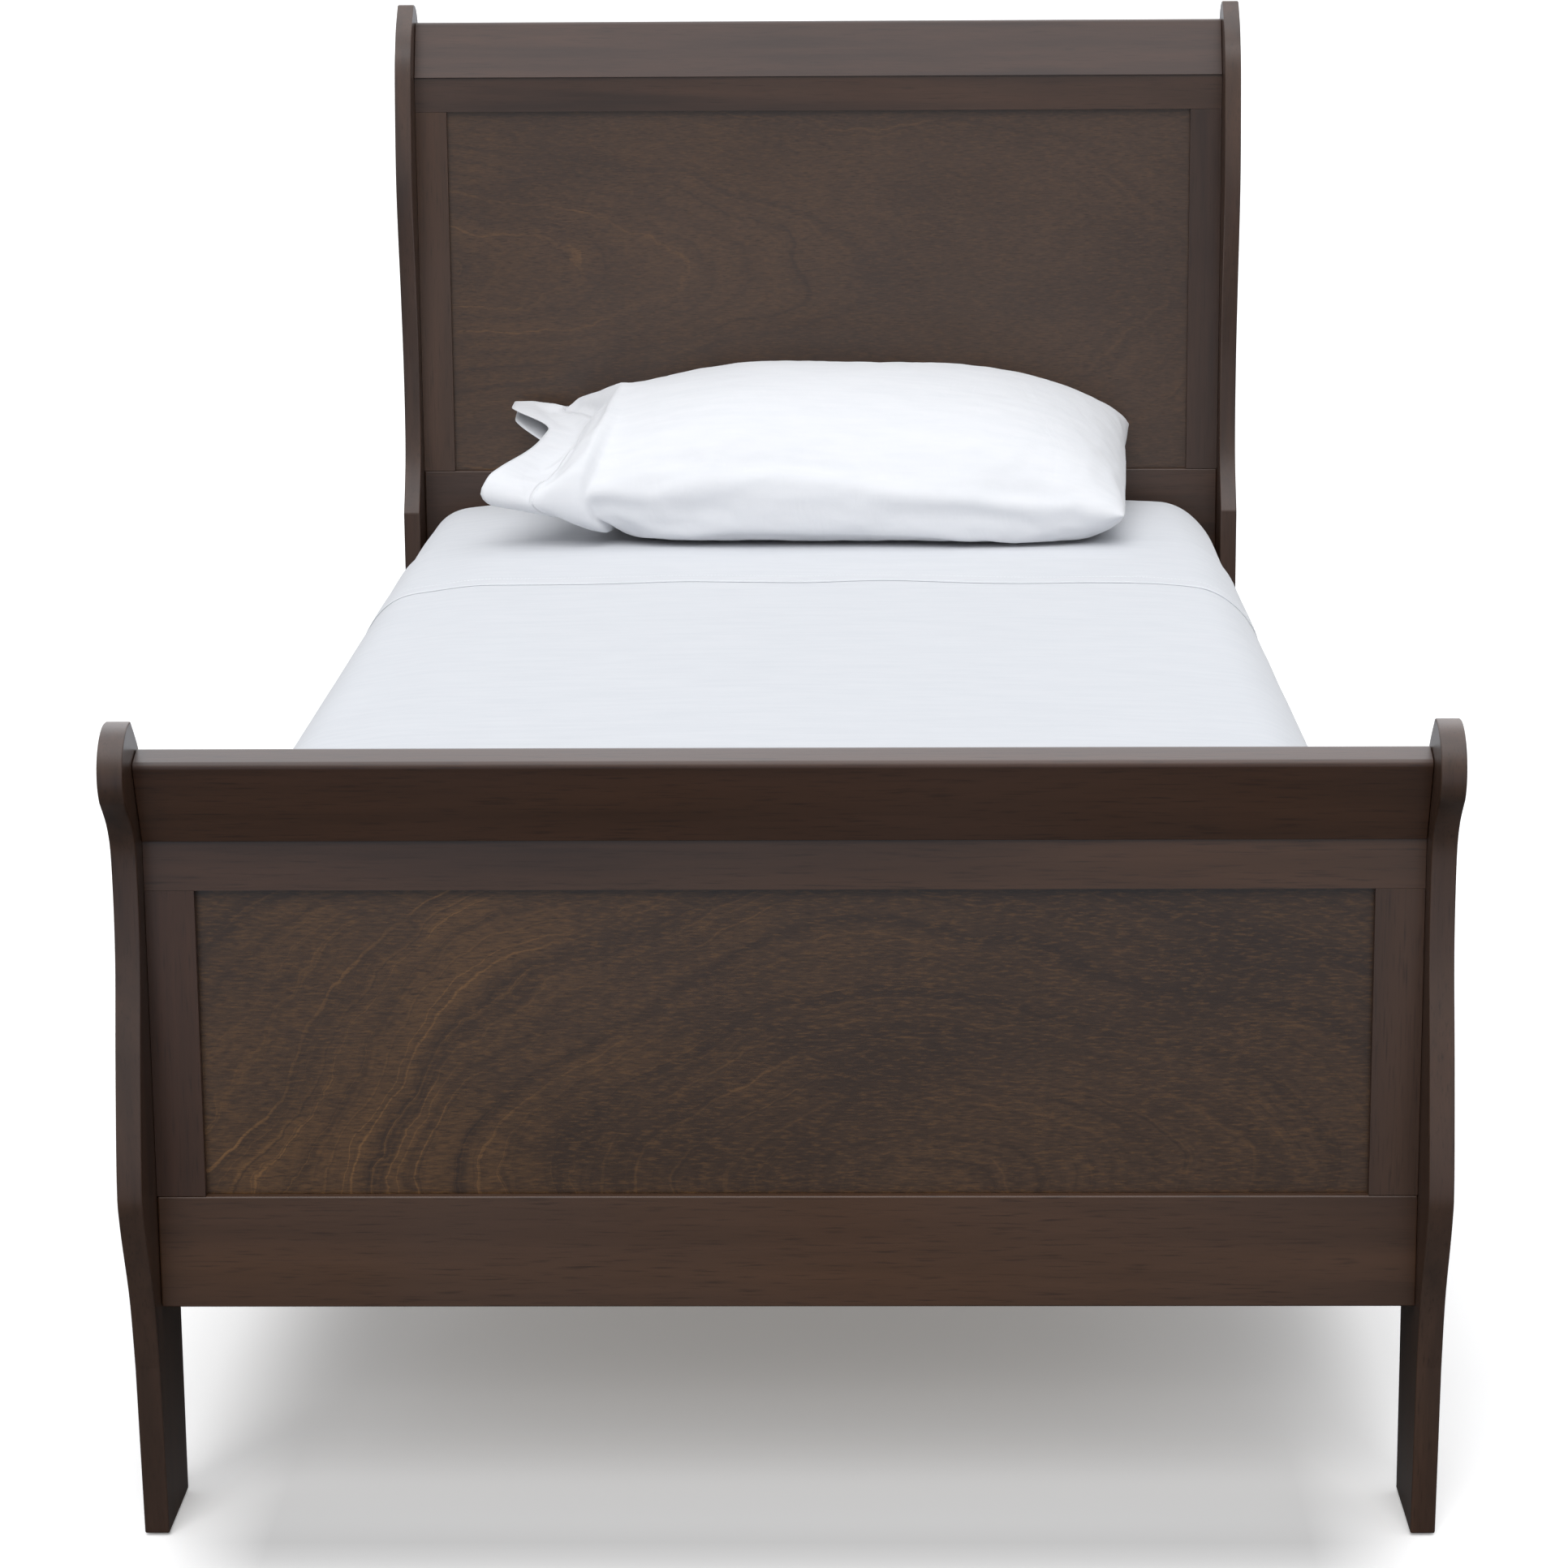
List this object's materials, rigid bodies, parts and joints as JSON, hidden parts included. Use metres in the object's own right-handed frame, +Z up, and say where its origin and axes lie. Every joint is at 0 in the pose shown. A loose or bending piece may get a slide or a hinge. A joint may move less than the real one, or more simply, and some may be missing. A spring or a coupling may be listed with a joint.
{
  "type": "sleigh bed",
  "caption": "Twin sleigh bed in dark satin wood: scrolled posts, framed veneer panels, side rails on hook plates and a slat base, made up with mattress, sheets and pillow.",
  "frame": {"origin": "on the floor, under the middle of the bed's outline", "axes": "+Z up; +Y along the bed towards the headboard; +X across the bed, to the right of someone standing at the foot"},
  "size_m": [1.094, 2.1016, 1.1968],
  "materials": {
    "walnut_wood": "satin",
    "veneer": "satin",
    "pine": "matte",
    "beech": "matte",
    "steel": "satin",
    "nylon": "satin",
    "ticking": "matte",
    "cotton": "matte"
  },
  "bodies": {
    "bed_frame": {"footboard_post_left": "walnut_wood", "hook_plate_foot_left": "steel", "keeper_plate_foot_left": "steel", "foot_glide_foot_left": "nylon", "footboard_post_right": "walnut_wood", "hook_plate_foot_right": "steel", "keeper_plate_foot_right": "steel", "foot_glide_foot_right": "nylon", "footboard_bottom_rail": "walnut_wood", "footboard_top_rail": "walnut_wood", "footboard_stile_left": "walnut_wood", "footboard_stile_right": "walnut_wood", "footboard_crown": "walnut_wood", "footboard_panel": "veneer", "footboard_dowel_left_1": "beech", "footboard_dowel_left_2": "beech", "footboard_dowel_left_3": "beech", "footboard_dowel_right_1": "beech", "footboard_dowel_right_2": "beech", "footboard_dowel_right_3": "beech", "headboard_post_left": "walnut_wood", "hook_plate_head_left": "steel", "keeper_plate_head_left": "steel", "foot_glide_head_left": "nylon", "headboard_post_right": "walnut_wood", "hook_plate_head_right": "steel", "keeper_plate_head_right": "steel", "foot_glide_head_right": "nylon", "headboard_bottom_rail": "walnut_wood", "headboard_top_rail": "walnut_wood", "headboard_stile_left": "walnut_wood", "headboard_stile_right": "walnut_wood", "headboard_crown": "walnut_wood", "headboard_panel": "veneer", "headboard_dowel_left_1": "beech", "headboard_dowel_left_2": "beech", "headboard_dowel_left_3": "beech", "headboard_dowel_right_1": "beech", "headboard_dowel_right_2": "beech", "headboard_dowel_right_3": "beech", "headboard_stretcher": "walnut_wood", "side_rail_left": "walnut_wood", "slat_cleat_left": "pine", "side_rail_right": "walnut_wood", "slat_cleat_right": "pine", "slat_01": "pine", "slat_02": "pine", "slat_03": "pine", "slat_04": "pine", "slat_05": "pine", "slat_06": "pine", "slat_07": "pine", "slat_08": "pine", "slat_09": "pine", "slat_10": "pine"},
    "mattress_and_sheets": {"mattress": "ticking", "fitted_sheet": "cotton", "top_sheet": "cotton"},
    "pillow_in_case": {"pillow": "ticking", "pillowcase": "cotton"}
  },
  "joints": [
    {"name": "mattress_lift", "type": "slide", "parent": "bed_frame", "child": "mattress_and_sheets", "axis": [0, 0, 1], "range_m": [0, 0.45]},
    {"name": "pillow_lift", "type": "slide", "parent": "mattress_and_sheets", "child": "pillow_in_case", "axis": [0, 0, 1], "range_m": [0, 0.3]}
  ]
}
